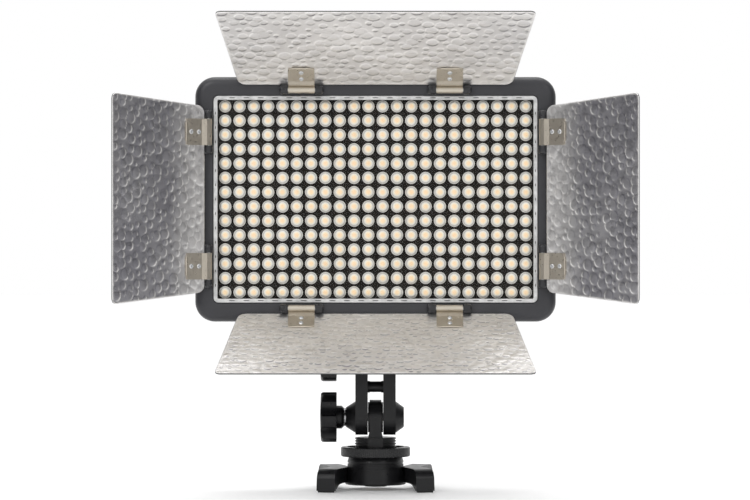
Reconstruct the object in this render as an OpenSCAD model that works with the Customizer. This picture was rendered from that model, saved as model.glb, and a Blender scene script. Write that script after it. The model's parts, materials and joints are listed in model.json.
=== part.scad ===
// LED panel light for video: a flat lamp head with four folding barn doors,
// carried by a double-jointed bracket on a small four-legged stand.
// +Z is up, the light shines towards -Y, and the origin is on the ground
// under the middle of the stand.

/* [LED panel] */
// Number of LEDs in a row
led_columns = 22; // [20:1:24]
// Number of rows of LEDs
led_rows = 14; // [13:1:15]
// Distance between the centres of neighbouring LEDs
led_pitch = 8.42; // [8.2:0.02:8.8]
// Diameter of one LED
led_d = 7.2; // [6:0.1:7.4]

/* [Casing] */
// Width of the casing's rim beside the clear cover
rim_w = 10.8; // [10.8:0.1:14]
// Height of the casing's rim above and below the clear cover
rim_h = 11.1; // [11:0.1:14]
// Radius of the casing's corners
casing_corner = 11.7; // [11:0.1:13]
// Radius of the casing's rounded edges, front and back
casing_edge = 5; // [2:0.1:5]
// Thickness of the casing's walls
wall = 2.2; // [2:0.1:2.4]

/* [Barn doors] */
// Thickness of the doors' sheet
sheet_t = 1; // [0.8:0.1:1]
// Length of the side doors from the hinge to the outer edge
side_door_length = 66.5; // [50:0.5:70]
// Tilt of the top door forward of the panel
top_tilt = 50; // [20:0.5:90]
// Tilt of the bottom door forward of the panel
bottom_tilt = 57.5; // [20:0.5:70]
// Tilt of the side doors forward of the panel
side_tilt = 36; // [10:1:90]

/* [Bracket] */
// Height of the lower joint above the ground
lower_joint_z = 42.7; // [42.7:0.1:50]
// Distance between the two joints
joint_spacing = 36; // [34:0.1:50]
// Thickness of each link arm
arm_t = 7.3; // [6:0.1:8]
// Radius of the link arms' round ends
arm_r = 10.5; // [9:0.1:10.6]
// Radius of the clamp knobs
knob_r = 14.9; // [13:0.1:15]

/* [Stand] */
// Radius of the stand's drum at its foot
drum_r = 18; // [17.6:0.1:20]
// Distance from the stand's centre to the tip of each foot
leg_reach = 42.1; // [41:0.1:60]
// Angle of each foot from the X axis, seen from the stand's centre
leg_angle = 46; // [42:1:50]

/* [Hidden] */
$fn = 64;
over = 1;          // how far a cut runs past the face that it opens
run_gap = 0.07;    // radial gap of a shaft that turns in its bore
seat_gap = 0.05;   // gap round a piece that is seated in another

// Lamp head, in its own frame: X across, Y up, Z forward out of the panel
led_gap = 0.3;             // between the cover and the top and bottom LEDs
led_side_gap = 1;          // between the cover and the LEDs at the sides
cover_wall = 2.2;
cover_corner = 3;
array_w = (led_columns - 1) * led_pitch;
array_h = (led_rows - 1) * led_pitch;
cover_w = array_w + led_d + 2 * (led_side_gap + cover_wall);
cover_h = array_h + led_d + 2 * (led_gap + cover_wall);
casing_w = cover_w + 2 * rim_w;
casing_h = cover_h + 2 * rim_h;
front_z = 20;
back_z = -16;
seam_z = 8;
seam_step = 0.4;
seam_gap = 0.6;
front_wall = 2.5;
inner_front_z = front_z - front_wall;
inner_back_z = back_z + wall;
window_gap = 0.3;
cover_front_z = front_z - 0.2;
cover_skin = 1.8;
flange = 2;
board_front_z = 13;
board_t = 1.6;
board_w = cover_w + 2 * flange - 0.2;
board_h = cover_h + 2 * flange - 0.2;
board_corner = 3;
board_back_z = board_front_z - board_t;
led_base_h = 2.2;
led_h = 4.1;
led_top_d = 4.6;
rib_t = 1.5;
rib_clear = 0.2;
plate_t = 1.5;
plate_back_z = board_back_z - plate_t;
fin_t = 1.2;
fin_z = 5;
fin_pitch = 12;
fin_count = 12;
fin_low = -50;
fin_high = 54;
ear_x = 60;
ear_y = casing_h / 2 - 5.5;
ear_w = 8;
ear_top = casing_h / 2 - 3;
small_screw_r = 1;
small_pilot_r = 1.05;
small_hole_r = 1.2;
small_head_r = 2;
small_head_h = 1.3;
post_x = casing_w / 2 - 6.4;
post_y = casing_h / 2 - 6.4;
post_r = 3.4;
screw_r = 1.45;
pilot_r = 1.5;
screw_hole_r = 1.65;
screw_head_r = 2.8;
screw_head_h = 2.2;
screw_sink = 2.5;
screw_tip_z = seam_z + 7;

// Hinges of the doors
pin_r = 1;
pin_stand_off = 3.6;      // from the casing's face to the pins
hinge_y = cover_h / 2 + 3.15;
hinge_x = cover_w / 2 + 2.6;
hinge_z = front_z + pin_stand_off;
clip_w = 15.4;
clip_t = 0.8;
clip_reach = 16;
clip_corner = 1.2;
barrel_r = 2;
bend_start = 2.3;
bend_end = 5.5;
lip_r = 0.5;
lip_lift = 0.05;          // keeps the lip clear of the sheet
lug_r = 2.7;
lug_round = 1.8;
lug_length = 5;
lug_neck = 3;
lug_cap = 1;
lug_gap = 0.3;
lug_peg_r = 1.1;
lug_peg_length = 1.8;
clip_x = 0.2047 * casing_w;
clip_y = 0.273 * casing_h;
rivet_places = [7.5, 12.8];
rivet_r = 0.9;
rivet_head_r = 1.45;
rivet_head_h = 0.55;
rivet_dimple_r = 0.6;
rivet_tail_r = 1.3;
rivet_tail_h = 0.3;
sheet_corner = 3;
sheet_inner_corner = 4.5;
corner_steps = 8;
long_sheet_level = -2.5;  // inner face of the top and bottom sheets over the pin's centre
side_sheet_level = 0.5;   // inner face of the side sheets over the pin's centre
long_door_start = 1.7;
side_door_start = 3.2;
long_door_length = hinge_y - 0.65;
long_outer_w = casing_w - 27.5;
long_inner_w = casing_w - 52;
side_outer_w = casing_h - 21.8;
side_inner_w = casing_h - 35;

// Back of the lamp head
battery_plate_w = 46;
battery_plate_low = -42;
battery_plate_high = 50;
battery_plate_t = 3;
battery_plate_z = back_z - battery_plate_t;
rail_in = 19.4;
rail_t = 3.1;
rail_low = -31;
rail_high = 32;
rail_h = 6.4;
rail_lip = 1.8;
rail_lip_t = 1.6;
contact_xs = [-6, 0, 6];
contact_y = -35;
contact_w = 1.6;
contact_h = 3.4;
latch_w = 18;
latch_low = 33;
latch_h = 8;
latch_t = 3.5;
latch_travel = 3;
latch_slot_w = 6;
spring_length = 6;
spring_r = 1.3;
spring_wire = 0.32;
spring_turns = 5;
spring_sides = 6;
spring_steps = 14;
stop_t = 3;
stop_w = 18;
display_x = -59;
display_y = 24;
window_w = 36;
window_h = 20;
window_t = 1.6;
module_w = 38;
module_h = 26;
module_t = 3;
button_names = ["mode", "channel", "down", "up"];
button_xs = [-84, -72, -60, -48];
button_y = 2;
button_r = 3.2;
button_proud = 1.3;
button_hole = 0.15;
button_flange_r = 4.2;
button_flange_t = 0.8;
button_stem_r = 1.2;
button_stem_z = -7;
switch_block = 5;
dial_x = 66;
dial_y = 26;
dial_r = 9.5;
dial_h = 9;
dial_gap = 0.6;
dial_shaft_r = 3;
dial_shaft_z = -10.3;
dial_notch_r = 0.7;
dial_notches = 36;
rocker_x = 66;
rocker_y = -4;
rocker_w = 13;
rocker_h = 18.4;
rocker_back = 3;
rocker_proud = 4.2;
rocker_hollow_r = 34;
rocker_gap = 0.3;
rocker_frame = 2;
rocker_frame_z = -11;
rocker_axis_z = -13.5;
rocker_pin_r = 1;
rocker_pin_length = 1.4;
rocker_rest = -7;
socket_x = 66;
socket_y = -34;
socket_r = 5.5;
socket_bore_r = 3;
socket_depth = 9.5;
socket_length = 12;
socket_pin_r = 1;
vent_length = 30;
vent_w = 1.8;
vent_pitch = 4.4;
vent_top_y = casing_h / 2 - 27;
vent_low_y = -46;
control_w = 176;
control_h = 62;
control_y = 1;
control_back_z = -3.6;
control_t = 1.6;
control_post_x = 82;
control_post_y = 26;
control_post_r = 3;
ribbon_x = -80;
ribbon_y = -56;
ribbon_w = 10;
ribbon_t = 0.6;
ribbon_slot = 2.4;
ribbon_plug_w = 14;
ribbon_plug_l = 2.8;

// Threaded socket in the casing's underside and the stud that fills it
insert_r = 5.5;
insert_length = 11;
thread_r = 3.175;         // 1/4 inch camera thread
thread_gap = 0.07;
insert_boss_r = 7.9;
insert_depth = 10;

// Bracket, in the object's own frame
upper_joint_z = lower_joint_z + joint_spacing;
casing_bottom_z = upper_joint_z + 20.9;
lamp_z = casing_bottom_z + casing_h / 2;
arm_gap = 9.2;
arm_in = arm_gap / 2;
arm_out = arm_in + arm_t;
spacer_r = 3.2;
spacer_collar_r = 3.5;
spacer_collar = 1.2;
spigot_r = 2;
spigot_length = 3;
bolt_r = 2.5;
bolt_bore_r = bolt_r + run_gap;
cone_length = 4.9;          // on the nuts' side
long_cone_length = 5.6;     // on the knobs' side
cone_r = 9.4;
cone_tip_r = 5.8;
nut_r = 4.6;
nut_t = 4;
nut_sides = 6;
washer_r = 5.4;
washer_t = 1;
knob_t = 9.4;
knob_dome = 0.6;
knob_lobes = 6;
knob_scallop_r = 7.2;
knob_scallop_at = 19.8;
knob_edge = 1.7;
knob_inner_edge = 0.5;
knob_neck_r = 6.85;
knob_neck_tip_r = 5.4;
knob_neck_chamfer = 1.5;
knob_neck = 2.9;
knob_turn = 8;
washer_in = arm_out + long_cone_length;
washer_out = washer_in + washer_t;
knob_start = washer_out + 0.1;
knob_in = knob_start + knob_neck_chamfer + knob_neck;
tongue_t = 6.9;
tongue_r = 10.3;
tongue_boss_r = 9;
tongue_gap = 0.15;
tongue_foot_w = 9;
tongue_foot_h = 4;
ridge_w = 0.7;
ridge_t = 0.3;

// Foot of the bracket, its clamping ring and the stand
plug_r = 12.3;
plug_root_r = 11.6;
plug_low_z = 19.6;
plug_high_z = 30.8;
thread_turns = 7;
ring_r = 20.5;
ring_low_z = 19.6;
ring_high_z = 25.2;
ring_floor = 3;
ring_rim_r = 16.9;
ring_knurls = 108;
ring_groove_r = 0.3;
ring_chamfer = 0.6;
neck_r = 6.1;
neck_high_z = 26;
foot_w = 18.6;
foot_l = 18;
foot_low_z = 14.3;
foot_t = 2;
receiver_r = 16.6;
receiver_low_z = 12.3;
receiver_high_z = 19.2;
receiver_chamfer = 0.8;
receiver_groove = 0.7;
receiver_groove_z = 15.2;
receiver_groove_h = 0.7;
slot_w = 18.9;
slot_t = 2.2;
slot_low_z = 14.2;
slot_mouth_w = 12.7;
slot_stop = 9.3;
peg_r = 8;
peg_length = 2.4;
drum_low_z = 3;
drum_edge = 1;
drum_top_r = 16.9;
leg_w = 11;
leg_root = 21;             // where the legs of one side meet, along X
leg_tip = leg_reach * [cos(leg_angle), sin(leg_angle)];
leg_length = norm(leg_tip - [leg_root, 0]);
leg_turn = atan2(leg_tip.y, leg_tip.x - leg_root);
leg_top_z = 13.5;
leg_low_z = 4.5;
leg_round = 6.5;
leg_toe = 0.6;             // how far a leg's end leans outward towards the ground
leg_arch_r = 22.3;
leg_arch_in = 14.7;        // from a leg's tip back to where its arch begins
pad_t = 1;
pad_w = 9.4;
pad_l = 2.2;
pad_in = 0.3;              // from a leg's tip back to its pad
stand_insert_r = 5;
stand_insert_low_z = 1.8;
stand_insert_length = 8;
stand_boss_r = 6.6;
disc_r = 13;
disc_low_z = upper_joint_z + 11.9;
disc_t = 2.8;
stud_low_z = disc_low_z - 3.5;
stud_high_z = casing_bottom_z + 9;
lock_r = 15;
lock_low_z = disc_low_z + disc_t + 0.2;
lock_high_z = casing_bottom_z - 1.2;
lock_knurls = 60;
lock_groove_r = 0.45;
lock_chamfer = 0.5;
lock_pad_r = 12.5;
lock_pad_bore_r = 5;
lock_pad_t = 0.9;

// ---------- shared shapes ----------

// The lamp head's own frame: X across, Y up, Z forward
module lamp_frame() {
    translate([0, 0, lamp_z]) rotate([90, 0, 0]) children();
}

// Turns a shape drawn along Z so that it runs along X
module along_x() {
    rotate([90, 0, 90]) children();
}

module rounded_rect(w, h, corner) {
    square([w - 2 * corner, h], center = true);
    square([w, h - 2 * corner], center = true);
    for (x = [-1, 1], y = [-1, 1])
        translate([x * (w / 2 - corner), y * (h / 2 - corner)]) circle(corner);
}

module slab(w, h, corner, low, high) {
    translate([0, 0, low])
        linear_extrude(high - low) rounded_rect(w, h, corner);
}

// Half a slab's section: flat at the bottom, rounded at its top outer edge
module edge_section(reach, depth, edge) {
    square([reach - edge, depth]);
    square([reach, depth - edge]);
    translate([reach - edge, depth - edge]) circle(edge);
}

// A slab whose upper edges are rounded all the way round
module soft_slab(w, h, corner, depth, edge) {
    linear_extrude(depth)
        square([w - 2 * corner, h - 2 * corner], center = true);
    for (side = [0 : 3]) {
        across = side % 2 == 0 ? w : h;
        along = side % 2 == 0 ? h : w;
        rotate(90 * side) translate([across / 2 - corner, 0, 0])
            rotate([90, 0, 0]) linear_extrude(along - 2 * corner, center = true)
                edge_section(corner, depth, edge);
    }
    for (x = [-1, 1], y = [-1, 1])
        translate([x * (w / 2 - corner), y * (h / 2 - corner), 0])
            rotate_extrude() edge_section(corner, depth, edge);
}

module tube(outer, bore, low, high) {
    translate([0, 0, low]) difference() {
        cylinder(r = outer, h = high - low);
        translate([0, 0, -over]) cylinder(r = bore, h = high - low + 2 * over);
    }
}

module at_corners(x, y) {
    for (sx = [-1, 1], sy = [-1, 1]) translate([sx * x, sy * y, 0]) children();
}

module at_ears() {
    for (x = [-ear_x, 0, ear_x], s = [-1, 1]) translate([x, s * ear_y, 0]) children();
}

// Points round an arc
function arc(c, r, from, to) =
    [for (i = [0 : corner_steps])
        let (a = from + (to - from) * i / corner_steps) c + r * [cos(a), sin(a)]];

// A round rim cut by fine grooves
module knurled_disc(r, grooves, groove_r, low, high, chamfer) {
    h = high - low;
    translate([0, 0, low]) intersection() {
        linear_extrude(h) difference() {
            circle(r);
            for (i = [0 : grooves - 1])
                rotate(i * 360 / grooves) translate([r, 0]) circle(groove_r, $fn = 16);
        }
        rotate_extrude() polygon([
            [0, 0], [r - chamfer, 0], [r, chamfer],
            [r, h - chamfer], [r - chamfer, h], [0, h]
        ]);
    }
}

// ---------- lamp head ----------

// Runs its children at every hinge, with X along the pin
module at_hinges() {
    for (x = [-clip_x, clip_x], s = [-1, 1])
        translate([x, s * hinge_y, hinge_z]) children();
    for (y = [-clip_y, clip_y], s = [-1, 1])
        translate([s * hinge_x, y, hinge_z]) rotate(90) children();
}

// Runs its children at the two lugs of every hinge, with X away from the clip
module at_lugs() {
    at_hinges() for (s = [0, 1]) mirror([s, 0, 0])
        translate([clip_w / 2 + lug_gap + lug_length / 2, 0, 0]) children();
}

// The socket in the casing's face that takes a lug's peg, or the peg itself
module lug_peg(r, length) {
    translate([-lug_round / 2, 0, -pin_stand_off - length]) cylinder(r = r, h = length + over, $fn = 32);
}

module front_bezel() {
    color("#3c3d40") lamp_frame() {
        difference() {
            union() {
                difference() {
                    translate([0, 0, seam_z])
                        soft_slab(casing_w, casing_h, casing_corner, front_z - seam_z, casing_edge);
                    slab(casing_w - 2 * wall, casing_h - 2 * wall, casing_corner - wall,
                         seam_z - over, inner_front_z);
                }
                slab(board_w + 2 * (rib_clear + rib_t), board_h + 2 * (rib_clear + rib_t),
                     board_corner + rib_t, board_back_z, inner_front_z);
                at_ears() translate([0, 0, board_back_z])
                    cylinder(r = post_r - 0.4, h = inner_front_z - board_back_z);
                at_corners(post_x, post_y) translate([0, 0, seam_z])
                    cylinder(r = post_r, h = inner_front_z - seam_z);
            }
            slab(board_w + 2 * rib_clear, board_h + 2 * rib_clear, board_corner,
                 board_back_z - over, inner_front_z);
            slab(cover_w + 2 * window_gap, cover_h + 2 * window_gap, cover_corner + window_gap,
                 inner_front_z - over, front_z + over);
            at_ears() translate([0, 0, board_back_z - over])
                cylinder(r = small_pilot_r, h = 4.5 + over);
            at_corners(post_x, post_y) translate([0, 0, seam_z - over])
                cylinder(r = pilot_r, h = 7.5 + over);
            at_lugs() lug_peg(lug_peg_r + seat_gap, lug_peg_length + 0.1);
        }
    }
}

// The rounded lugs that hold the two ends of each hinge pin
module hinge_lugs() {
    color("#19191a") lamp_frame() at_lugs() difference() {
        union() {
            rotate([0, 90, 0]) rotate_extrude() polygon(concat(
                [[0, -lug_length / 2], [lug_r, -lug_length / 2]],
                arc([lug_r - lug_round, lug_length / 2 - lug_round], lug_round, 0, 90),
                [[0, lug_length / 2]]
            ));
            translate([-lug_round / 2, 0, -pin_stand_off / 2])
                cube([lug_length - lug_round, lug_neck, pin_stand_off], center = true);
            lug_peg(lug_peg_r, lug_peg_length);
        }
        translate([-(lug_cap + over) / 2, 0, 0]) along_x()
            cylinder(r = pin_r + 0.02, h = lug_length - lug_cap + over, center = true);
    }
}

module control_posts() {
    at_corners(control_post_x, control_post_y) translate([0, control_y, 0])
        tube(control_post_r, small_pilot_r, inner_back_z, control_back_z);
}

module vents() {
    for (s = [-1, 1], i = [0 : 3])
        translate([s * display_x, vent_top_y + i * vent_pitch, back_z - over])
            linear_extrude(wall + 2 * over) rounded_rect(vent_length, vent_w, vent_w / 2 - 0.01);
    for (i = [0 : 6])
        translate([display_x, vent_low_y + i * vent_pitch, back_z - over])
            linear_extrude(wall + 2 * over) rounded_rect(vent_length, vent_w, vent_w / 2 - 0.01);
}

module back_openings() {
    depth = wall + 2 * over;
    translate([display_x, display_y, back_z - over]) linear_extrude(depth)
        rounded_rect(window_w + 2 * seat_gap, window_h + 2 * seat_gap, 1.5);
    for (x = button_xs) translate([x, button_y, back_z - over])
        cylinder(r = button_r + button_hole, h = depth);
    translate([dial_x, dial_y, back_z - over])
        cylinder(r = dial_shaft_r + run_gap, h = depth);
    translate([socket_x, socket_y, back_z - over])
        cylinder(r = socket_r + seat_gap, h = depth);
    vents();
}

module rocker_well() {
    w = rocker_w + 2 * rocker_gap;
    h = rocker_h + 2 * rocker_gap + 1;
    translate([rocker_x, rocker_y, 0]) {
        translate([-w / 2, -h / 2, back_z - over])
            cube([w, h, rocker_frame_z - back_z + 2 * over]);
        translate([0, 0, rocker_axis_z]) along_x()
            cylinder(r = rocker_pin_r + run_gap, h = w + 2 * rocker_pin_length + 0.4, center = true);
    }
}

module rocker_frame_block() {
    w = rocker_w + 2 * rocker_gap + 2 * rocker_frame;
    h = rocker_h + 2 * rocker_gap + 1 + 2 * rocker_frame;
    translate([rocker_x - w / 2, rocker_y - h / 2, inner_back_z - 0.5])
        cube([w, h, rocker_frame_z - inner_back_z + 0.5]);
}

module rear_housing() {
    body_top = seam_z - seam_gap;
    color("#39393c") difference() {
        union() {
            lamp_frame() {
                difference() {
                    union() {
                        translate([0, 0, body_top]) mirror([0, 0, 1])
                            soft_slab(casing_w, casing_h, casing_corner, body_top - back_z, casing_edge);
                        slab(casing_w - 2 * seam_step, casing_h - 2 * seam_step,
                             casing_corner - seam_step, body_top - over, seam_z);
                    }
                    slab(casing_w - 2 * wall, casing_h - 2 * wall, casing_corner - wall,
                         inner_back_z, seam_z + over);
                }
                at_corners(post_x, post_y) translate([0, 0, inner_back_z - 0.5])
                    cylinder(r = post_r, h = seam_z - inner_back_z + 0.5);
                control_posts();
                rocker_frame_block();
            }
            translate([0, 0, casing_bottom_z + wall / 2])
                cylinder(r = insert_boss_r, h = insert_length + 1.5 - wall / 2);
        }
        lamp_frame() {
            at_corners(post_x, post_y) translate([0, 0, back_z - over])
                cylinder(r = screw_hole_r, h = seam_z - back_z + 2 * over);
            at_corners(post_x, post_y) translate([0, 0, back_z - over])
                cylinder(r = screw_head_r + 0.2, h = screw_sink + over);
            back_openings();
            rocker_well();
        }
        translate([0, 0, casing_bottom_z - over])
            cylinder(r = insert_r + seat_gap, h = insert_length + over);
    }
}

module clear_cover() {
    color("#f2f5f6", 0.35) lamp_frame() difference() {
        union() {
            slab(cover_w, cover_h, cover_corner, inner_front_z - over, cover_front_z);
            slab(board_w, board_h, board_corner, board_front_z, inner_front_z);
        }
        slab(cover_w - 2 * cover_wall, cover_h - 2 * cover_wall, cover_corner - 1.5,
             board_front_z - over, cover_front_z - cover_skin);
    }
}

module led_board() {
    color("#1b1613") lamp_frame()
        slab(board_w, board_h, board_corner, board_back_z, board_front_z);
}

module led_emitters() {
    color("#f6f0e2") lamp_frame()
        for (column = [0 : led_columns - 1], row = [0 : led_rows - 1])
            translate([column * led_pitch - array_w / 2, row * led_pitch - array_h / 2, board_front_z])
                rotate_extrude($fn = 24) polygon([
                    [0, 0], [led_d / 2, 0], [led_d / 2, led_base_h],
                    [led_top_d / 2, led_h], [0, led_h]
                ]);
}

module heat_sink() {
    color("#b9bbbd") lamp_frame() difference() {
        union() {
            slab(board_w, board_h, board_corner, plate_back_z, board_back_z);
            for (x = [-ear_x, 0, ear_x])
                translate([x - ear_w / 2, -ear_top, plate_back_z])
                    cube([ear_w, 2 * ear_top, plate_t]);
            for (i = [0 : fin_count - 1])
                translate([(i - (fin_count - 1) / 2) * fin_pitch - fin_t / 2, fin_low, fin_z])
                    cube([fin_t, fin_high - fin_low, plate_back_z - fin_z + 0.5]);
        }
        at_ears() translate([0, 0, plate_back_z - over])
            cylinder(r = small_hole_r, h = plate_t + 2 * over);
        translate([ribbon_x - ribbon_w / 2 - 1, ribbon_y - ribbon_slot / 2, plate_back_z - over])
            cube([ribbon_w + 2, ribbon_slot, plate_t + 2 * over]);
    }
}

// A pan-head screw that points towards +Z, with its head's seat at z = 0
module pan_screw(r, length, head_r, head_h, slot) {
    difference() {
        union() {
            cylinder(r = r, h = length);
            translate([0, 0, -head_h]) cylinder(r1 = head_r - 0.4, r2 = head_r, h = head_h);
        }
        for (a = [0, 90]) rotate(a) translate([-head_r * 0.6, -slot / 2, -head_h - over])
            cube([head_r * 1.2, slot, head_h * 0.5 + over]);
    }
}

module heat_sink_screws() {
    color("#c9cbcd") lamp_frame() at_ears() translate([0, 0, plate_back_z])
        pan_screw(small_screw_r, 5.5, small_head_r, small_head_h, 0.5);
}

module control_board() {
    front = control_back_z + control_t;
    color("#1f5a37") lamp_frame() {
        difference() {
            translate([-control_w / 2, control_y - control_h / 2, control_back_z])
                cube([control_w, control_h, control_t]);
            at_corners(control_post_x, control_post_y) translate([0, control_y, control_back_z - over])
                cylinder(r = small_hole_r, h = control_t + 2 * over);
        }
        for (x = button_xs)
            translate([x - switch_block / 2, button_y - switch_block / 2, control_back_z - 1.8])
                cube([switch_block, switch_block, 1.8]);
        translate([dial_x - 6, dial_y - 6, dial_shaft_z + 0.3])
            cube([12, 12, control_back_z - dial_shaft_z - 0.3]);
        for (x = [-20, 2]) translate([x, -10, front]) cylinder(r = 4, h = 5.5);
        translate([20, -14, front]) cube([12, 12, 2]);
        translate([-44, -18, front]) cube([9, 9, 1.6]);
        translate([ribbon_x - ribbon_plug_w / 2, control_y - control_h / 2, front])
            cube([ribbon_plug_w, ribbon_plug_l, -front]);
    }
}

module control_board_screws() {
    color("#c9cbcd") lamp_frame()
        at_corners(control_post_x, control_post_y)
            translate([0, control_y, control_back_z + control_t]) mirror([0, 0, 1])
                pan_screw(small_screw_r, 6, small_head_r, small_head_h, 0.5);
}

module led_ribbon() {
    color("#e6e2d6") lamp_frame() {
        low = control_y - control_h / 2 + ribbon_plug_l;
        translate([ribbon_x - ribbon_w / 2, ribbon_y - ribbon_t / 2, 0])
            cube([ribbon_w, ribbon_t, board_back_z]);
        translate([ribbon_x - ribbon_w / 2, ribbon_y - ribbon_t / 2, 0])
            cube([ribbon_w, low - ribbon_y + ribbon_t / 2, ribbon_t]);
    }
}

module lcd_display() {
    color("#5f6f66") lamp_frame() translate([display_x, display_y, inner_back_z + 0.2])
        linear_extrude(module_t) square([module_w, module_h], center = true);
}

module lcd_window() {
    color("#20262a", 0.6) lamp_frame() translate([display_x, display_y, back_z + 0.2])
        linear_extrude(window_t) rounded_rect(window_w, window_h, 1.5);
}

module battery_plate() {
    color("#2c2c2e") lamp_frame() difference() {
        union() {
            translate([0, (battery_plate_low + battery_plate_high) / 2, battery_plate_z])
                linear_extrude(battery_plate_t)
                    rounded_rect(battery_plate_w, battery_plate_high - battery_plate_low, 3);
            for (s = [0, 1]) mirror([s, 0, 0]) {
                translate([rail_in, rail_low, battery_plate_z - rail_h])
                    cube([rail_t, rail_high - rail_low, rail_h + over]);
                translate([rail_in - rail_lip, rail_low, battery_plate_z - rail_h])
                    cube([rail_lip + over, rail_high - rail_low, rail_lip_t]);
            }
            translate([-stop_w / 2, latch_low + latch_h + spring_length, battery_plate_z - latch_t - 1])
                cube([stop_w, stop_t, latch_t + 1 + over]);
        }
        for (x = contact_xs)
            translate([x - contact_w / 2 - 0.1, contact_y - 2.1, battery_plate_z - over])
                cube([contact_w + 0.2, 4.2, battery_plate_t + 2 * over]);
        translate([-latch_slot_w / 2, latch_low + 1, battery_plate_z - over])
            cube([latch_slot_w, latch_h + latch_travel - 1.4, battery_plate_t - 0.6 + over]);
    }
}

module battery_contacts() {
    color("#c9a24b") lamp_frame() for (x = contact_xs)
        translate([x - contact_w / 2, contact_y - 2, battery_plate_z - contact_h])
            cube([contact_w, 4, contact_h + battery_plate_t]);
}

module battery_latch() {
    color("#b3422f") lamp_frame() difference() {
        union() {
            translate([-latch_w / 2, latch_low, battery_plate_z - 0.2 - latch_t])
                cube([latch_w, latch_h, latch_t]);
            translate([-latch_slot_w / 2 + 0.3, latch_low + 1.4, battery_plate_z - over])
                cube([latch_slot_w - 0.6, 4, over + 1.8]);
        }
        for (i = [0 : 3])
            translate([0, latch_low + 1.6 + i * 1.6, battery_plate_z - latch_t - over - 0.2])
                translate([-latch_w / 2 - over, 0, 0]) cube([latch_w + 2 * over, 0.7, over + 0.5]);
    }
}

// Points round the wire at step i of a coil that rises along Z
function coil_ring(i, r, wire, turns, length, steps, sides) =
    let (a = i * 360 / steps, z = wire + (length - 2 * wire) * i / (turns * steps))
    [for (k = [0 : sides - 1])
        let (b = k * 360 / sides, q = r + wire * cos(b))
        [q * cos(a), q * sin(a), z + wire * sin(b)]];

module coil(r, wire, turns, length, steps, sides) {
    n = turns * steps;
    points = [for (i = [0 : n]) each coil_ring(i, r, wire, turns, length, steps, sides)];
    walls = [for (i = [0 : n - 1], k = [0 : sides - 1])
        let (a = i * sides + k, b = i * sides + (k + 1) % sides)
        [a, b, b + sides, a + sides]];
    first = [for (k = [sides - 1 : -1 : 0]) k];
    last = [for (k = [0 : sides - 1]) n * sides + k];
    polyhedron(points, concat(walls, [first, last]));
}

module latch_spring() {
    color("#d0d2d4")
        translate([0, -battery_plate_z + 0.2 + latch_t / 2, lamp_z + latch_low + latch_h])
            coil(spring_r, spring_wire, spring_turns, spring_length, spring_steps, spring_sides);
}

module power_rocker() {
    color("#1d1d1f") lamp_frame() translate([rocker_x, rocker_y, rocker_axis_z]) rotate([rocker_rest, 0, 0]) {
        difference() {
            translate([-rocker_w / 2, -rocker_h / 2, -rocker_proud])
                cube([rocker_w, rocker_h, rocker_proud + rocker_back]);
            translate([0, 0, -rocker_proud - rocker_hollow_r + 1.2]) along_x()
                cylinder(r = rocker_hollow_r, h = rocker_w + 2 * over, center = true, $fn = 128);
        }
        along_x() cylinder(r = rocker_pin_r, h = rocker_w + 2 * rocker_pin_length, center = true);
    }
}

module dimmer_dial() {
    color("#232325") lamp_frame() translate([dial_x, dial_y, 0]) {
        difference() {
            translate([0, 0, back_z - dial_gap]) mirror([0, 0, 1])
                knurled_disc(dial_r, dial_notches, dial_notch_r, 0, dial_h, 0.6);
            translate([-0.5, dial_r * 0.35, back_z - dial_gap - dial_h - over])
                cube([1, dial_r * 0.5, over + 0.5]);
        }
        translate([0, 0, back_z - dial_gap - over])
            cylinder(r = dial_shaft_r, h = dial_shaft_z - back_z + dial_gap + over);
    }
}

module push_button(x) {
    color("#4a4b4e") lamp_frame() translate([x, button_y, 0]) {
        translate([0, 0, back_z - button_proud]) rotate_extrude() polygon([
            [0, 0], [button_r - 0.5, 0], [button_r, 0.5],
            [button_r, wall + button_proud + 0.5], [0, wall + button_proud + 0.5]
        ]);
        translate([0, 0, inner_back_z + 0.3]) cylinder(r = button_flange_r, h = button_flange_t);
        translate([0, 0, inner_back_z + 0.3])
            cylinder(r = button_stem_r, h = button_stem_z - inner_back_z - 0.3);
    }
}

module dc_socket() {
    color("#1a1a1b") lamp_frame() translate([socket_x, socket_y, back_z]) difference() {
        cylinder(r = socket_r, h = socket_length);
        translate([0, 0, -over]) cylinder(r = socket_bore_r, h = socket_depth + over);
        translate([0, 0, socket_depth - over])
            cylinder(r = socket_pin_r + seat_gap, h = socket_length - socket_depth + 2 * over);
    }
}

module dc_pin() {
    color("#c9a24b") lamp_frame() translate([socket_x, socket_y, back_z + 1])
        cylinder(r = socket_pin_r, h = socket_length);
}

// A bored brass bush that stands on z = low, threaded for the camera screw
module brass_insert(outer, low, length, depth, from_top) {
    color("#b8924a") translate([0, 0, low]) difference() {
        cylinder(r = outer, h = length);
        translate([0, 0, from_top ? length - depth : -over])
            cylinder(r = thread_r + thread_gap, h = depth + over);
    }
}

module base_insert() {
    brass_insert(insert_r, casing_bottom_z, insert_length, insert_depth, false);
}

module housing_screws() {
    seat = back_z + screw_sink;
    color("#8f9193") lamp_frame() at_corners(post_x, post_y) translate([0, 0, seat])
        pan_screw(screw_r, screw_tip_z - seat, screw_head_r, screw_head_h, 0.8);
}

module hinge_pins() {
    length = clip_w + 2 * (lug_gap + lug_length - lug_cap) - 0.2;
    color("#a9abad") lamp_frame() at_hinges()
        along_x() cylinder(r = pin_r, h = length, center = true);
}

// ---------- barn doors ----------
// A door is drawn standing up from its pin: X along the pin, Z out to the
// free edge, and the lit face towards -Y.  "level" is how far the lit face
// of its sheet lies in front of the pin's centre.

// Hangs a door: tilted about its pin, and turned to its side of the lamp
module hang_door(turn, tilt, reach) {
    translate([0, 0, lamp_z]) rotate([0, turn, 0])
        translate([0, -hinge_z, reach]) rotate([tilt, 0, 0]) children();
}

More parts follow.
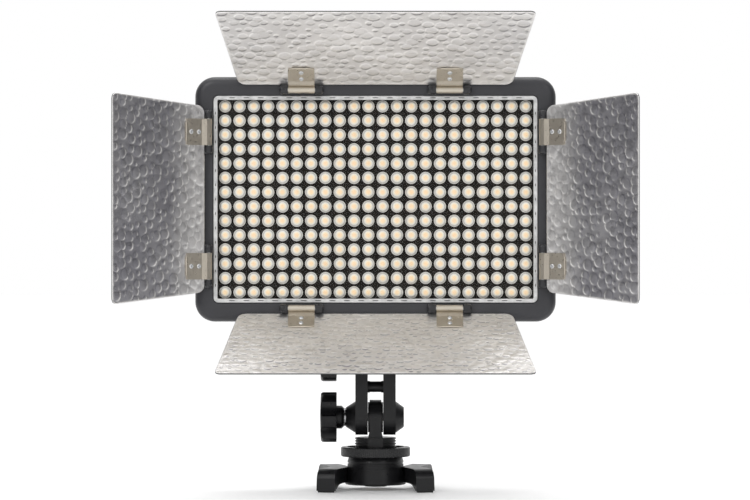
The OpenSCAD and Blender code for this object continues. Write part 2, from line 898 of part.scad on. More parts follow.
// Half the outline of a sheet that widens from its pin to its free edge
function half_outline(start, end, inner_w, outer_w) =
    let (
        slope = (outer_w - inner_w) / 2 / (end - start),
        lean = atan(slope),
        edge = function (y, r) inner_w / 2 + (y - start) * slope - r / cos(lean),
        low = start + sheet_inner_corner,
        high = end - sheet_corner
    )
    concat(
        arc([edge(low, sheet_inner_corner), low], sheet_inner_corner, -90, -lean),
        arc([edge(high, sheet_corner), high], sheet_corner, -lean, 90)
    );

module sheet_outline(start, end, inner_w, outer_w) {
    right = half_outline(start, end, inner_w, outer_w);
    n = len(right);
    left = [for (i = [n - 1 : -1 : 0]) [-right[i].x, right[i].y]];
    polygon(concat(right, left));
}

module rivet_holes(spacing, r) {
    for (x = [-spacing, spacing], z = rivet_places)
        translate([x, 0, z]) rotate([90, 0, 0]) cylinder(r = r, h = 20, center = true, $fn = 24);
}

module door_panel(start, end, inner_w, outer_w, level, spacing) {
    color("#c9c7c3") difference() {
        translate([0, sheet_t - level, 0]) rotate([90, 0, 0])
            linear_extrude(sheet_t) sheet_outline(start, end, inner_w, outer_w);
        rivet_holes(spacing, rivet_r + seat_gap);
    }
}

// One clip: a barrel round the pin, a bend, and a plate on the sheet's lit face
module door_clips(level, spacing) {
    root = level > 0 ? barrel_r - clip_t : -barrel_r;
    lip_z = clip_reach + lip_r * 0.4;
    section = [
        [0, root + clip_t], [bend_start, root + clip_t], [bend_end, level + clip_t],
        [clip_reach, level + clip_t], [clip_reach, level], [bend_end, level],
        [bend_start, root], [0, root]
    ];
    color("#b4ac99") difference() {
        for (x = [-spacing, spacing]) translate([x, 0, 0]) {
            along_x() cylinder(r = barrel_r, h = clip_w, center = true);
            intersection() {
                translate([-clip_w / 2, 0, 0]) rotate([90, 0, 90])
                    linear_extrude(clip_w) polygon([for (p = section) [-p.y, p.x]]);
                translate([0, 0, clip_reach / 2]) rotate([90, 0, 0])
                    linear_extrude(20, center = true)
                        rounded_rect(clip_w, clip_reach + 2 * over, clip_corner + over);
            }
            translate([0, -level - lip_r - lip_lift, lip_z]) along_x()
                cylinder(r = lip_r, h = clip_w - 4 * clip_corner, center = true, $fn = 24);
        }
        for (x = [-spacing, spacing]) translate([x, 0, 0]) along_x()
            cylinder(r = pin_r + run_gap, h = clip_w + 2 * over, center = true);
        rivet_holes(spacing, rivet_r + seat_gap);
    }
}

// A tubular rivet: dimpled head on the lit side, rolled tail on the back
module rivet() {
    through = clip_t + sheet_t;
    rotate_extrude($fn = 32) polygon([
        [0, -rivet_tail_h], [rivet_tail_r, -rivet_tail_h], [rivet_tail_r, 0],
        [rivet_r, 0], [rivet_r, through], [rivet_head_r, through],
        [rivet_head_r - 0.1, through + 0.3], [rivet_head_r - 0.45, through + rivet_head_h],
        [rivet_dimple_r, through + rivet_head_h], [rivet_dimple_r - 0.2, through + 0.2],
        [0, through + 0.2]
    ]);
}

module door_rivets(level, spacing) {
    color("#d9dadb") for (x = [-spacing, spacing], z = rivet_places)
        translate([x, sheet_t - level, z]) rotate([90, 0, 0]) rivet();
}

module long_door(turn, tilt) {
    hang_door(turn, tilt, hinge_y) children();
}

module side_door(turn) {
    hang_door(turn, side_tilt, hinge_x) children();
}

module long_panel() {
    door_panel(long_door_start, long_door_length, long_inner_w, long_outer_w, long_sheet_level, clip_x);
}

module side_panel() {
    door_panel(side_door_start, side_door_length, side_inner_w, side_outer_w, side_sheet_level, clip_y);
}

// ---------- bracket ----------

module bolt_axis(z) {
    translate([0, 0, z]) along_x() children();
}

module arm_outline() {
    for (z = [lower_joint_z, upper_joint_z]) translate([0, z]) circle(arm_r);
    translate([-arm_r, lower_joint_z]) square([2 * arm_r, joint_spacing]);
}

// The right-hand arm; the left-hand one is its mirror image with longer cones
module link_arm(cone, nut_pockets) {
    spacer_z = (lower_joint_z + upper_joint_z) / 2;
    difference() {
        union() {
            translate([arm_in, 0, 0]) along_x() linear_extrude(arm_t) arm_outline();
            for (z = [lower_joint_z, upper_joint_z]) bolt_axis(z)
                translate([0, 0, arm_out - 0.01]) cylinder(r1 = cone_r, r2 = cone_tip_r, h = cone);
        }
        for (z = [lower_joint_z, upper_joint_z]) bolt_axis(z) {
            cylinder(r = bolt_bore_r, h = 3 * arm_out);
            if (nut_pockets) translate([0, 0, arm_out + cone_length - nut_t])
                cylinder(r = nut_r + seat_gap, h = nut_t + over, $fn = nut_sides);
        }
        bolt_axis(spacer_z) cylinder(r = spigot_r + seat_gap, h = arm_in + spigot_length + 0.2);
    }
}

module link_arm_right() {
    color("#232325") link_arm(cone_length, true);
}

module link_arm_left() {
    color("#232325") mirror([1, 0, 0]) link_arm(long_cone_length, false);
}

module link_spacer() {
    color("#202022") bolt_axis((lower_joint_z + upper_joint_z) / 2) {
        cylinder(r = spacer_r, h = arm_gap, center = true);
        for (s = [0, 1]) mirror([0, 0, s]) {
            translate([0, 0, arm_in - spacer_collar]) cylinder(r = spacer_collar_r, h = spacer_collar);
            translate([0, 0, arm_in - over]) cylinder(r = spigot_r, h = spigot_length + over);
        }
    }
}

module link_washers() {
    color("#c8cacc") for (z = [lower_joint_z, upper_joint_z]) bolt_axis(z) mirror([0, 0, 1])
        tube(washer_r, bolt_bore_r, washer_in, washer_out);
}

module link_nuts() {
    low = arm_out + cone_length - nut_t;
    color("#b5b7b9") for (z = [lower_joint_z, upper_joint_z]) bolt_axis(z) difference() {
        translate([0, 0, low]) cylinder(r = nut_r, h = nut_t - 0.2, $fn = nut_sides);
        cylinder(r = bolt_bore_r, h = 3 * arm_out);
    }
}

// A lobed clamp knob that points towards -X
module clamp_knob(z) {
    color("#19191a") bolt_axis(z) mirror([0, 0, 1]) difference() {
        union() {
            translate([0, 0, knob_start])
                cylinder(r1 = knob_neck_tip_r, r2 = knob_neck_r, h = knob_neck_chamfer);
            translate([0, 0, knob_start + knob_neck_chamfer])
                cylinder(r = knob_neck_r, h = knob_neck + over);
            translate([0, 0, knob_in]) intersection() {
                linear_extrude(knob_t + knob_dome) difference() {
                    circle(knob_r + over);
                    for (i = [0 : knob_lobes - 1])
                        rotate(knob_turn + (i + 0.5) * 360 / knob_lobes)
                            translate([knob_scallop_at, 0]) circle(knob_scallop_r);
                }
                rotate_extrude() polygon(concat(
                    [[0, 0]],
                    arc([knob_r - knob_inner_edge, knob_inner_edge], knob_inner_edge, -90, 0),
                    arc([knob_r - knob_edge, knob_t - knob_edge], knob_edge, 0, 90),
                    [[0, knob_t + knob_dome]]
                ));
            }
        }
        translate([0, 0, knob_start - over]) cylinder(r = bolt_r + seat_gap, h = 9 + over);
    }
}

module clamp_bolt(z) {
    color("#aeb0b2") bolt_axis(z) mirror([0, 0, 1])
        translate([0, 0, -arm_out - cone_length + 0.6])
            cylinder(r = bolt_r, h = washer_out + arm_out + cone_length + 8);
}

// The eye of a joint, with its stem running down to z = low
module tongue(low) {
    difference() {
        union() {
            translate([-tongue_t / 2, 0, 0]) along_x() linear_extrude(tongue_t) {
                circle(tongue_r);
                translate([-tongue_r, low]) square([2 * tongue_r, -low]);
            }
            along_x() cylinder(r = tongue_boss_r, h = arm_gap - 2 * tongue_gap, center = true);
            translate([0, tongue_r, low]) rotate([90, 0, 0]) linear_extrude(2 * tongue_r)
                polygon([
                    [-tongue_foot_w / 2, 0], [tongue_foot_w / 2, 0],
                    [tongue_t / 2, tongue_foot_h], [-tongue_t / 2, tongue_foot_h]
                ]);
            for (s = [-1, 1]) translate([-ridge_w / 2, s * tongue_r - ridge_t, low])
                cube([ridge_w, 2 * ridge_t, -low]);
        }
        along_x() cylinder(r = bolt_bore_r, h = arm_gap + 2 * over, center = true);
    }
}

// Section of a coarse thread, drawn as rings
function thread_section(low, high, root, crest, turns) =
    let (pitch = (high - low) / turns)
    concat(
        [[0, low]],
        [for (i = [0 : turns - 1]) each [
            [root, low + i * pitch], [root, low + (i + 0.3) * pitch],
            [crest, low + (i + 0.5) * pitch], [crest, low + (i + 0.8) * pitch]
        ]],
        [[root, high], [0, high]]
    );

module lower_tongue() {
    color("#1e1e20") difference() {
        union() {
            translate([0, 0, lower_joint_z]) tongue(plug_high_z - lower_joint_z - 0.5);
            rotate_extrude()
                polygon(thread_section(plug_low_z, plug_high_z, plug_root_r, plug_r, thread_turns));
            intersection() {
                translate([0, 0, plug_low_z]) cylinder(r = plug_r, h = plug_high_z - plug_low_z);
                translate([-tongue_foot_w / 2, -plug_r, plug_low_z])
                    cube([tongue_foot_w, 2 * plug_r, plug_high_z - plug_low_z]);
            }
        }
        translate([0, 0, plug_low_z - over])
            cylinder(r = neck_r + seat_gap, h = neck_high_z - plug_low_z + over);
    }
}

module shoe_foot() {
    color("#3a3a3c") {
        translate([-foot_w / 2, -foot_l / 2, foot_low_z]) cube([foot_w, foot_l, foot_t]);
        translate([0, 0, foot_low_z + foot_t / 2])
            cylinder(r = neck_r, h = neck_high_z - foot_low_z - foot_t / 2);
    }
}

module ring_nut() {
    color("#2a2a2c") difference() {
        knurled_disc(ring_r, ring_knurls, ring_groove_r, ring_low_z, ring_high_z, ring_chamfer);
        translate([0, 0, ring_low_z - over]) cylinder(r = plug_r + run_gap, h = ring_high_z);
        translate([0, 0, ring_low_z + ring_floor]) cylinder(r = ring_rim_r, h = ring_high_z);
    }
}

module upper_tongue() {
    color("#1e1e20") difference() {
        union() {
            translate([0, 0, upper_joint_z]) mirror([0, 0, 1])
                tongue(upper_joint_z - disc_low_z - 0.5);
            translate([0, 0, disc_low_z]) cylinder(r = disc_r, h = disc_t);
        }
        translate([0, 0, stud_low_z]) cylinder(r = thread_r + seat_gap, h = 20);
    }
}

module mount_stud() {
    color("#c4c6c8") translate([0, 0, stud_low_z]) {
        cylinder(r = thread_r, h = stud_high_z - stud_low_z - 0.6);
        translate([0, 0, stud_high_z - stud_low_z - 0.6])
            cylinder(r1 = thread_r, r2 = thread_r - 0.6, h = 0.6);
    }
}

module lock_ring() {
    color("#2a2a2c") difference() {
        knurled_disc(lock_r, lock_knurls, lock_groove_r, lock_low_z, lock_high_z, lock_chamfer);
        translate([0, 0, lock_low_z - over])
            cylinder(r = thread_r + run_gap, h = lock_high_z - lock_low_z + 2 * over);
    }
}

module lock_pad() {
    color("#151516") tube(lock_pad_r, lock_pad_bore_r, lock_high_z, lock_high_z + lock_pad_t);
}

// ---------- stand ----------

module shoe_receiver() {
    h = receiver_high_z - receiver_low_z;
    color("#1b1b1c") difference() {
        union() {
            translate([0, 0, receiver_low_z]) rotate_extrude() difference() {
                polygon([
                    [0, 0], [receiver_r, 0], [receiver_r, h - 3 * receiver_chamfer],
                    [receiver_r - receiver_chamfer, h], [0, h]
                ]);
                translate([receiver_r - receiver_groove, receiver_groove_z - receiver_low_z])
                    square([over + receiver_groove, receiver_groove_h]);
            }
            translate([0, 0, receiver_low_z - peg_length]) cylinder(r = peg_r, h = peg_length + over);
        }
        translate([-slot_w / 2, -slot_stop, slot_low_z]) cube([slot_w, 2 * receiver_r, slot_t]);
        translate([0, 0, slot_low_z]) cylinder(r = slot_mouth_w / 2, h = receiver_high_z);
        translate([-slot_mouth_w / 2, 0, slot_low_z]) cube([slot_mouth_w, 2 * receiver_r, receiver_high_z]);
    }
}

// Section of a leg along its own direction: a bar with a rounded shoulder that
// arches down to a short sole
module leg_outline() {
    arch_z = leg_low_z - leg_arch_r;
    polygon(concat(
        [[0, leg_low_z], [0, leg_top_z]],
        arc([leg_length - leg_toe - leg_round, leg_top_z - leg_round], leg_round, 90, 0),
        [[leg_length, pad_t]],
        arc([leg_length - leg_arch_in, arch_z], leg_arch_r, asin((pad_t - arch_z) / leg_arch_r), 90)
    ));
}

module at_legs() {
    for (x = [0, 1], y = [0, 1]) mirror([x, 0, 0]) mirror([0, y, 0])
        translate([leg_root, 0, 0]) rotate(leg_turn) children();
}

module stand_base() {
    color("#1d1d1e") difference() {
        union() {
            rotate_extrude() {
                polygon([
                    [0, drum_low_z], [drum_r - drum_edge, drum_low_z],
                    [drum_r, drum_low_z + drum_edge], [drum_top_r, receiver_low_z],
                    [0, receiver_low_z]
                ]);
                translate([drum_r - drum_edge, drum_low_z + drum_edge]) circle(drum_edge);
            }
            translate([0, 0, stand_insert_low_z]) cylinder(r = stand_boss_r, h = drum_low_z);
            at_legs() translate([0, leg_w / 2, 0]) rotate([90, 0, 0]) linear_extrude(leg_w) leg_outline();
        }
        translate([0, 0, receiver_low_z]) cylinder(r = receiver_r + 0.1, h = leg_top_z);
        translate([0, 0, stand_insert_low_z - over])
            cylinder(r = stand_insert_r + seat_gap, h = stand_insert_length + over);
        translate([0, 0, receiver_low_z - peg_length - 0.2])
            cylinder(r = peg_r + seat_gap, h = peg_length + over);
    }
}

module stand_insert() {
    brass_insert(stand_insert_r, stand_insert_low_z, stand_insert_length, stand_insert_length - 1, false);
}

module stand_pads() {
    color("#111112") at_legs() translate([leg_length - pad_in - pad_l, -pad_w / 2, 0])
        cube([pad_l, pad_w, pad_t]);
}

// ---------- every node ----------

front_bezel();
rear_housing();
clear_cover();
led_board();
led_emitters();
heat_sink();
heat_sink_screws();
control_board();
control_board_screws();
led_ribbon();
lcd_display();
lcd_window();
battery_plate();
battery_contacts();
battery_latch();
latch_spring();
power_rocker();
dimmer_dial();
for (i = [0 : len(button_names) - 1])
    push_button(button_xs[i]);
dc_socket();
dc_pin();
base_insert();
housing_screws();
hinge_lugs();
hinge_pins();

long_door(0, top_tilt) long_panel();  // top_door_panel
long_door(0, top_tilt) door_clips(long_sheet_level, clip_x);  // top_door_clips
long_door(0, top_tilt) door_rivets(long_sheet_level, clip_x);  // top_door_rivets
long_door(180, bottom_tilt) long_panel();  // bottom_door_panel
long_door(180, bottom_tilt) door_clips(long_sheet_level, clip_x);  // bottom_door_clips
long_door(180, bottom_tilt) door_rivets(long_sheet_level, clip_x);  // bottom_door_rivets
side_door(-90) side_panel();  // left_door_panel
side_door(-90) door_clips(side_sheet_level, clip_y);  // left_door_clips
side_door(-90) door_rivets(side_sheet_level, clip_y);  // left_door_rivets
side_door(90) side_panel();  // right_door_panel
side_door(90) door_clips(side_sheet_level, clip_y);  // right_door_clips
side_door(90) door_rivets(side_sheet_level, clip_y);  // right_door_rivets

upper_tongue();
mount_stud();
lock_ring();
lock_pad();
link_arm_left();
link_arm_right();
link_spacer();
link_washers();
link_nuts();
clamp_knob(upper_joint_z);  // upper_knob
clamp_bolt(upper_joint_z);  // upper_bolt
clamp_knob(lower_joint_z);  // lower_knob
clamp_bolt(lower_joint_z);  // lower_bolt
lower_tongue();
shoe_foot();
ring_nut();
shoe_receiver();
stand_base();
stand_insert();
stand_pads();
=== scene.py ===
"""Looks of an LED panel light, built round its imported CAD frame."""

import json
import math

import bpy
import numpy as np
from mathutils import Matrix, Vector


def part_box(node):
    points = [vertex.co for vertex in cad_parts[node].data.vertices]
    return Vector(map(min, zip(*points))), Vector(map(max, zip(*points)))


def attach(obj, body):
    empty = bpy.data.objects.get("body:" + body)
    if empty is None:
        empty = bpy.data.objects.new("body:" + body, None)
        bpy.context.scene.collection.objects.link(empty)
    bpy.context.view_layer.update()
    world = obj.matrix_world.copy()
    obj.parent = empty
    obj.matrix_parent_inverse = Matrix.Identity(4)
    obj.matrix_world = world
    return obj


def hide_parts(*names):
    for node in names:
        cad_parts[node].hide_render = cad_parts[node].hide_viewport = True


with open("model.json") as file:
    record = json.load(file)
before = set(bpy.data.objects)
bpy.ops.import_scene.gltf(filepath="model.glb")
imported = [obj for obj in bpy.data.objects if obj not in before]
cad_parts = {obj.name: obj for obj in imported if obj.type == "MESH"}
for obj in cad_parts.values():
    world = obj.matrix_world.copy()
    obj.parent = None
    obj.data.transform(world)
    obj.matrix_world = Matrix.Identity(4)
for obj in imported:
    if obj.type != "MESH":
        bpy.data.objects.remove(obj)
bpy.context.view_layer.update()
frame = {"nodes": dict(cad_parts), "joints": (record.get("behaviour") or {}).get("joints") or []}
nodes = frame["nodes"]
joints = {j["name"]: j for j in frame["joints"]}
rng = np.random.default_rng(41)

# ---------- sizes repeated from the CAD model, in metres ----------
LED_COLUMNS, LED_ROWS, LED_PITCH, LED_R = 22, 14, 0.00842, 0.0036
LED_SIDE_GAP, LED_GAP = 0.001, 0.0003   # from the outermost LEDs to the cover's wall, along X and Z
COVER_WALL = 0.0022
COVER_CORNER = 0.003
COVER_FRONT_Y = -0.0198
BOARD_FRONT_Y = -0.013
SHEET_T = 0.001
SHEET_INNER_CORNER, SHEET_CORNER = 0.0045, 0.003    # at the pin and at the free edge
LONG_SHEET = {"start": 0.0017, "end": 0.06333, "inner": 0.16002, "outer": 0.18452, "level": -0.0025}
SIDE_SHEET = {"start": 0.0032, "end": 0.0665, "inner": 0.10886, "outer": 0.12206, "level": 0.0005}
DOORS = {   # turn round the lamp, tilt that is left when fully open (in degrees), and sheet
    "top": (0.0, 5.0, LONG_SHEET),
    "bottom": (180.0, 5.5, LONG_SHEET),
    "left": (-90.0, 5.0, SIDE_SHEET),
    "right": (90.0, 5.0, SIDE_SHEET),
}


# ---------- helpers ----------

def new_object(name, verts, faces, smooth=True):
    mesh = bpy.data.meshes.new(name)
    mesh.from_pydata([tuple(v) for v in verts], [], faces)
    mesh.polygons.foreach_set("use_smooth", [smooth] * len(mesh.polygons))
    mesh.update()
    obj = bpy.data.objects.new(name, mesh)
    bpy.context.scene.collection.objects.link(obj)
    return obj


def add_attribute(obj, name, values):
    attribute = obj.data.attributes.new(name, "FLOAT", "POINT")
    attribute.data.foreach_set("value", np.asarray(values, np.float32))


def set_material(obj, *materials):
    obj.data.materials.clear()
    for m in materials:
        obj.data.materials.append(m)


class Mat:
    """A Principled material with short ways to add nodes."""

    def __init__(self, name, color, rough, metal=0.0, **values):
        self.mat = bpy.data.materials.new(name)
        self.mat.use_nodes = True
        self.tree = self.mat.node_tree
        self.bsdf = self.tree.nodes["Principled BSDF"]
        self.set("Base Color", (*color, 1.0))
        self.set("Roughness", rough)
        self.set("Metallic", metal)
        for key, value in values.items():
            self.set(key.replace("_", " "), value)

    def set(self, socket, value):
        self.bsdf.inputs[socket].default_value = value

    def node(self, kind, **values):
        n = self.tree.nodes.new(kind)
        for key, value in values.items():
            if hasattr(n, key):
                setattr(n, key, value)
            else:
                n.inputs[key.replace("_", " ")].default_value = value
        return n

    def link(self, a, b):
        self.tree.links.new(a, b)

    def noise(self, scale, detail=3.0):
        n = self.node("ShaderNodeTexNoise", Scale=scale, Detail=detail, Roughness=0.55)
        self.link(self.node("ShaderNodeTexCoord").outputs["Object"], n.inputs["Vector"])
        return n.outputs["Fac"]

    def ramp(self, fac, *stops):
        r = self.node("ShaderNodeValToRGB")
        e = r.color_ramp.elements
        while len(e) < len(stops):
            e.new(0.5)
        for item, (pos, color) in zip(e, stops):
            item.position = pos
            item.color = (*color, 1.0)
        self.link(fac, r.inputs["Fac"])
        return r.outputs["Color"]

    def span(self, fac, low, high, lo, hi):
        m = self.node("ShaderNodeMapRange")
        m.inputs["From Min"].default_value = lo
        m.inputs["From Max"].default_value = hi
        m.inputs["To Min"].default_value = low
        m.inputs["To Max"].default_value = high
        self.link(fac, m.inputs["Value"])
        return m.outputs["Result"]

    def vary(self, fac, low, high):
        """Lets the colour wander between two tones."""
        self.link(self.ramp(fac, (0.3, low), (0.7, high)), self.bsdf.inputs["Base Color"])

    def gloss(self, fac, low, high):
        """Lets the roughness wander between two values."""
        self.link(self.span(fac, low, high, 0.3, 0.7), self.bsdf.inputs["Roughness"])

    def bump(self, fac, distance):
        b = self.node("ShaderNodeBump")
        b.inputs["Distance"].default_value = distance
        b.inputs["Strength"].default_value = 1.0
        self.link(fac, b.inputs["Height"])
        self.link(b.outputs["Normal"], self.bsdf.inputs["Normal"])

    def multiply(self, a, b):
        m = self.node("ShaderNodeMix")
        m.data_type = "RGBA"
        m.blend_type = "MULTIPLY"
        m.inputs[0].default_value = 1.0
        self.link(a, m.inputs[6])
        self.link(b, m.inputs[7])
        return m.outputs[2]


def shade(c, k):
    return tuple(min(1.0, v * k) for v in c)


def plastic(name, color, rough=0.45, grain=0.00003, grain_scale=2600, blotch=0.12, **values):
    """Moulded plastic: fine spark-eroded grain, slight colour and gloss variation."""
    m = Mat(name, color, rough, **values)
    m.vary(m.noise(55, 4), shade(color, 1 - blotch), shade(color, 1 + blotch))
    m.gloss(m.noise(140, 5), rough - 0.06, rough + 0.08)
    m.bump(m.noise(grain_scale, 2), grain)
    return m.mat


def metal(name, color, rough=0.3, blotch=0.06, **values):
    """Bare or plated metal with a fine grain."""
    m = Mat(name, color, rough, 1.0, **values)
    m.vary(m.noise(60, 4), shade(color, 1 - blotch), shade(color, 1 + blotch))
    fine = m.noise(900, 3)
    m.gloss(fine, rough - 0.08, rough + 0.1)
    m.bump(fine, 0.00001)
    return m.mat


# ---------- materials ----------

def led_material():
    m = Mat("led_lens", (0.9, 0.9, 0.88), 0.22, 0.0, Specular_IOR_Level=0.35, IOR=1.5)
    r = m.node("ShaderNodeAttribute", attribute_name="led_r").outputs["Fac"]
    # painted shade: the dark stops at 0.84 and 0.88 darken the groove that the profile dips into near the
    # rim; the other stops are the LED's own colours
    tone_and_painted_light = m.ramp(
        r,
        (0.0, (0.88, 0.65, 0.39)), (0.26, (0.87, 0.67, 0.43)), (0.44, (0.85, 0.76, 0.59)),
        (0.58, (0.81, 0.79, 0.74)), (0.74, (0.68, 0.67, 0.64)), (0.84, (0.46, 0.45, 0.42)),
        (0.88, (0.42, 0.41, 0.38)), (0.91, (0.82, 0.81, 0.78)), (1.0, (0.72, 0.71, 0.68)))
    own = m.node("ShaderNodeAttribute", attribute_name="led_id").outputs["Fac"]
    tint = m.ramp(own, (0.0, (0.95, 0.94, 0.92)), (0.5, (1.0, 1.0, 1.0)), (1.0, (1.0, 0.97, 0.93)))
    m.link(m.multiply(tone_and_painted_light, tint), m.bsdf.inputs["Base Color"])
    m.gloss(m.noise(1500, 2), 0.18, 0.30)
    return m.mat


def board_material():
    m = Mat("led_board_mask", (0.011, 0.0075, 0.005), 0.42, Specular_IOR_Level=0.12)
    m.vary(m.noise(160, 4), (0.004, 0.003, 0.002), (0.013, 0.009, 0.006))
    m.gloss(m.noise(420, 3), 0.3, 0.6)
    m.bump(m.noise(700, 3), 0.00004)
    return m.mat


def reflector_material():
    """Embossed bright sheet. Its colour is painted light: an attribute holds painted highlights and
    painted shade on the relief, for how much light each spot sends forward.
    """
    m = Mat("door_reflector", (0.70, 0.68, 0.66), 0.36, 1.0)
    tone_and_painted_light = m.node("ShaderNodeAttribute", attribute_name="tone_and_painted_light").outputs["Fac"]
    # painted light: dark for painted shade, bright for painted highlights on the relief
    color = m.ramp(
        tone_and_painted_light, (0.0, (0.10, 0.095, 0.105)), (0.25, (0.28, 0.275, 0.30)), (0.5, (0.54, 0.53, 0.53)),
        (0.75, (0.86, 0.845, 0.83)), (1.0, (1.0, 0.99, 0.98)))
    wide = m.ramp(m.noise(110, 4), (0.3, (0.90, 0.90, 0.90)), (0.7, (1.0, 1.0, 1.0)))
    m.link(m.multiply(color, wide), m.bsdf.inputs["Base Color"])
    m.gloss(m.noise(260, 4), 0.30, 0.44)
    m.bump(m.noise(900, 3), 0.00003)
    return m.mat


def cover_rim_material():
    m = Mat("cover_rim", (0.72, 0.73, 0.74), 0.22, 0.0, Coat_Weight=0.5, Coat_Roughness=0.1)
    m.vary(m.noise(240, 4), (0.42, 0.42, 0.42), (0.66, 0.66, 0.65))
    m.gloss(m.noise(600, 3), 0.16, 0.30)
    m.bump(m.noise(500, 2), 0.00003)
    return m.mat


def clear_material():
    m = Mat("clear_sheet", (0.5, 0.5, 0.5), 0.05, 0.0, IOR=1.45, Alpha=0.01, Specular_IOR_Level=0.1)
    m.gloss(m.noise(60, 4), 0.03, 0.09)
    m.bump(m.noise(20, 2), 0.00002)
    return m.mat


def pcb_material():
    m = Mat("green_mask", (0.02, 0.11, 0.05), 0.35)
    m.vary(m.noise(400, 4), (0.012, 0.08, 0.035), (0.03, 0.15, 0.07))
    m.bump(m.noise(900, 2), 0.00003)
    return m.mat


M = {
    "casing": plastic(
        "casing", (0.027, 0.027, 0.031), 0.40, grain=0.00004, grain_scale=2200, Specular_IOR_Level=0.42),
    "led": led_material(),
    "board": board_material(),
    "reflector": reflector_material(),
    "door_back": plastic("door_back_paint", (0.030, 0.030, 0.031), 0.4),
    "rim": cover_rim_material(),
    # painted refraction: dark colour for the dashes where the gaps between the LEDs show through the rim
    "gap": plastic("rim_gap", (0.028, 0.027, 0.026), 0.35),
    "clear": clear_material(),
    "clip": metal("clip_nickel", (0.50, 0.455, 0.385), 0.34, blotch=0.05),
    "rivet": metal("rivet_steel", (0.60, 0.61, 0.62), 0.40),
    "pin": metal("pin_steel", (0.6, 0.6, 0.59), 0.28),
    "black": plastic("bracket_black", (0.010, 0.010, 0.011), 0.34, grain=0.00003, Specular_IOR_Level=0.30),
    "knob": plastic("knob_black", (0.007, 0.007, 0.008), 0.30, grain=0.00002, Specular_IOR_Level=0.28),
    "stand": plastic("stand_black", (0.008, 0.008, 0.009), 0.32, grain=0.00003, Specular_IOR_Level=0.28),
    "lug": plastic("lug_black", (0.018, 0.018, 0.020), 0.28, grain=0.00002, Specular_IOR_Level=0.4),
    "ring": plastic("ring_black", (0.014, 0.014, 0.015), 0.26, grain=0.00001, Specular_IOR_Level=0.45),
    "shoe": plastic("shoe_black", (0.022, 0.022, 0.024), 0.32),
    "rubber": plastic("pad_rubber", (0.013, 0.013, 0.013), 0.8, grain=0.00008, grain_scale=1500),
    "steel": metal("plated_steel", (0.58, 0.59, 0.60), 0.28),
    "washer": metal("washer_steel", (0.30, 0.30, 0.31), 0.22),
    "aluminium": metal("plain_aluminium", (0.72, 0.73, 0.74), 0.38),
    "brass": metal("turned_brass", (0.72, 0.54, 0.26), 0.28),
    "gold": metal("gold_plate", (0.80, 0.62, 0.30), 0.22),
    "pcb": pcb_material(),
    "ribbon": plastic("ribbon_strip", (0.70, 0.68, 0.62), 0.5),
    "lcd": plastic("lcd_module", (0.22, 0.28, 0.23), 0.3),
    "window": plastic("smoked_window", (0.008, 0.009, 0.011), 0.08, grain=0.000002, Coat_Weight=0.6),
    "plate": plastic("battery_plate_black", (0.020, 0.020, 0.021), 0.42),
    "latch": plastic("latch_red", (0.36, 0.030, 0.020), 0.4),
    "gloss": plastic("switch_black", (0.012, 0.012, 0.013), 0.14, grain=0.000005, Coat_Weight=0.4),
    "dial": plastic("dial_black", (0.02, 0.02, 0.021), 0.5),
    "button": plastic("button_grey", (0.085, 0.085, 0.09), 0.45),
}
NODE_MATERIALS = {
    "front_bezel": "casing", "rear_housing": "casing", "led_board": "board", "heat_sink": "aluminium",
    "heat_sink_screws": "steel", "control_board": "pcb", "control_board_screws": "steel",
    "led_ribbon": "ribbon", "lcd_display": "lcd", "lcd_window": "window", "battery_plate": "plate",
    "battery_contacts": "gold", "battery_latch": "latch", "latch_spring": "steel",
    "power_rocker": "gloss", "dimmer_dial": "dial", "button_mode": "button",
    "button_channel": "button", "button_down": "button", "button_up": "button",
    "dc_socket": "gloss", "dc_pin": "gold", "base_insert": "brass", "housing_screws": "steel",
    "hinge_pins": "pin", "hinge_lugs": "lug",
    "upper_tongue": "black", "mount_stud": "steel", "lock_ring": "ring", "lock_pad": "rubber",
    "link_arm_left": "black", "link_arm_right": "black", "link_spacer": "black",
    "link_washers": "washer", "link_nuts": "steel", "upper_knob": "knob", "upper_bolt": "steel",
    "lower_knob": "knob", "lower_bolt": "steel", "lower_tongue": "black", "shoe_foot": "shoe",
    "ring_nut": "ring", "shoe_receiver": "stand", "stand_base": "stand", "stand_insert": "brass",
    "stand_pads": "rubber",
}
for door in DOORS:
    NODE_MATERIALS[door + "_door_clips"] = "clip"
    NODE_MATERIALS[door + "_door_rivets"] = "rivet"
for name, key in NODE_MATERIALS.items():
    set_material(nodes[name], M[key])

# ---------- softened edges on the CAD nodes that show most ----------
FLAT_ANGLE = math.radians(1.0)      # faces that meet at less than this are one flat face
SHARP_ANGLE = math.radians(38)      # edges sharper than this are rounded
SOFT = {    # radius of the rounding, in metres
    "link_arm_left": 0.0005, "link_arm_right": 0.0005, "lower_tongue": 0.0003, "upper_tongue": 0.0003,
    "stand_base": 0.0005, "shoe_receiver": 0.0003, "battery_plate": 0.0003, "battery_latch": 0.0003,
    "power_rocker": 0.0003, "upper_knob": 0.0003, "lower_knob": 0.0003,
}
for name, width in SOFT.items():
    node = nodes[name]
    flat = node.modifiers.new("merge_flats", "DECIMATE")
    flat.decimate_type = "DISSOLVE"
    flat.angle_limit = FLAT_ANGLE
    edge = node.modifiers.new("soft_edges", "BEVEL")
    edge.width = width
    edge.segments = 2
    edge.limit_method = "ANGLE"
    edge.angle_limit = SHARP_ANGLE
    edge.harden_normals = False

# ---------- LEDs ----------
lamp_low, lamp_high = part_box("led_emitters")
lamp_z = (lamp_low.z + lamp_high.z) / 2
LED_PROFILE = [     # radius as a share of the LED's, and height over the board in metres
    (1.0, 0.0), (1.0, 0.0017), (0.985, 0.00195), (0.955, 0.00208), (0.915, 0.00208), (0.885, 0.00185),
    (0.865, 0.00185), (0.845, 0.0020), (0.80, 0.00245), (0.72, 0.00298), (0.62, 0.00340),
    (0.50, 0.00370), (0.38, 0.00388), (0.24, 0.00398), (0.11, 0.00402), (0.0, 0.00403)]
LED_SIDES = 20
LED_JITTER = 0.00003    # how far LEDs stray from their places, in metres


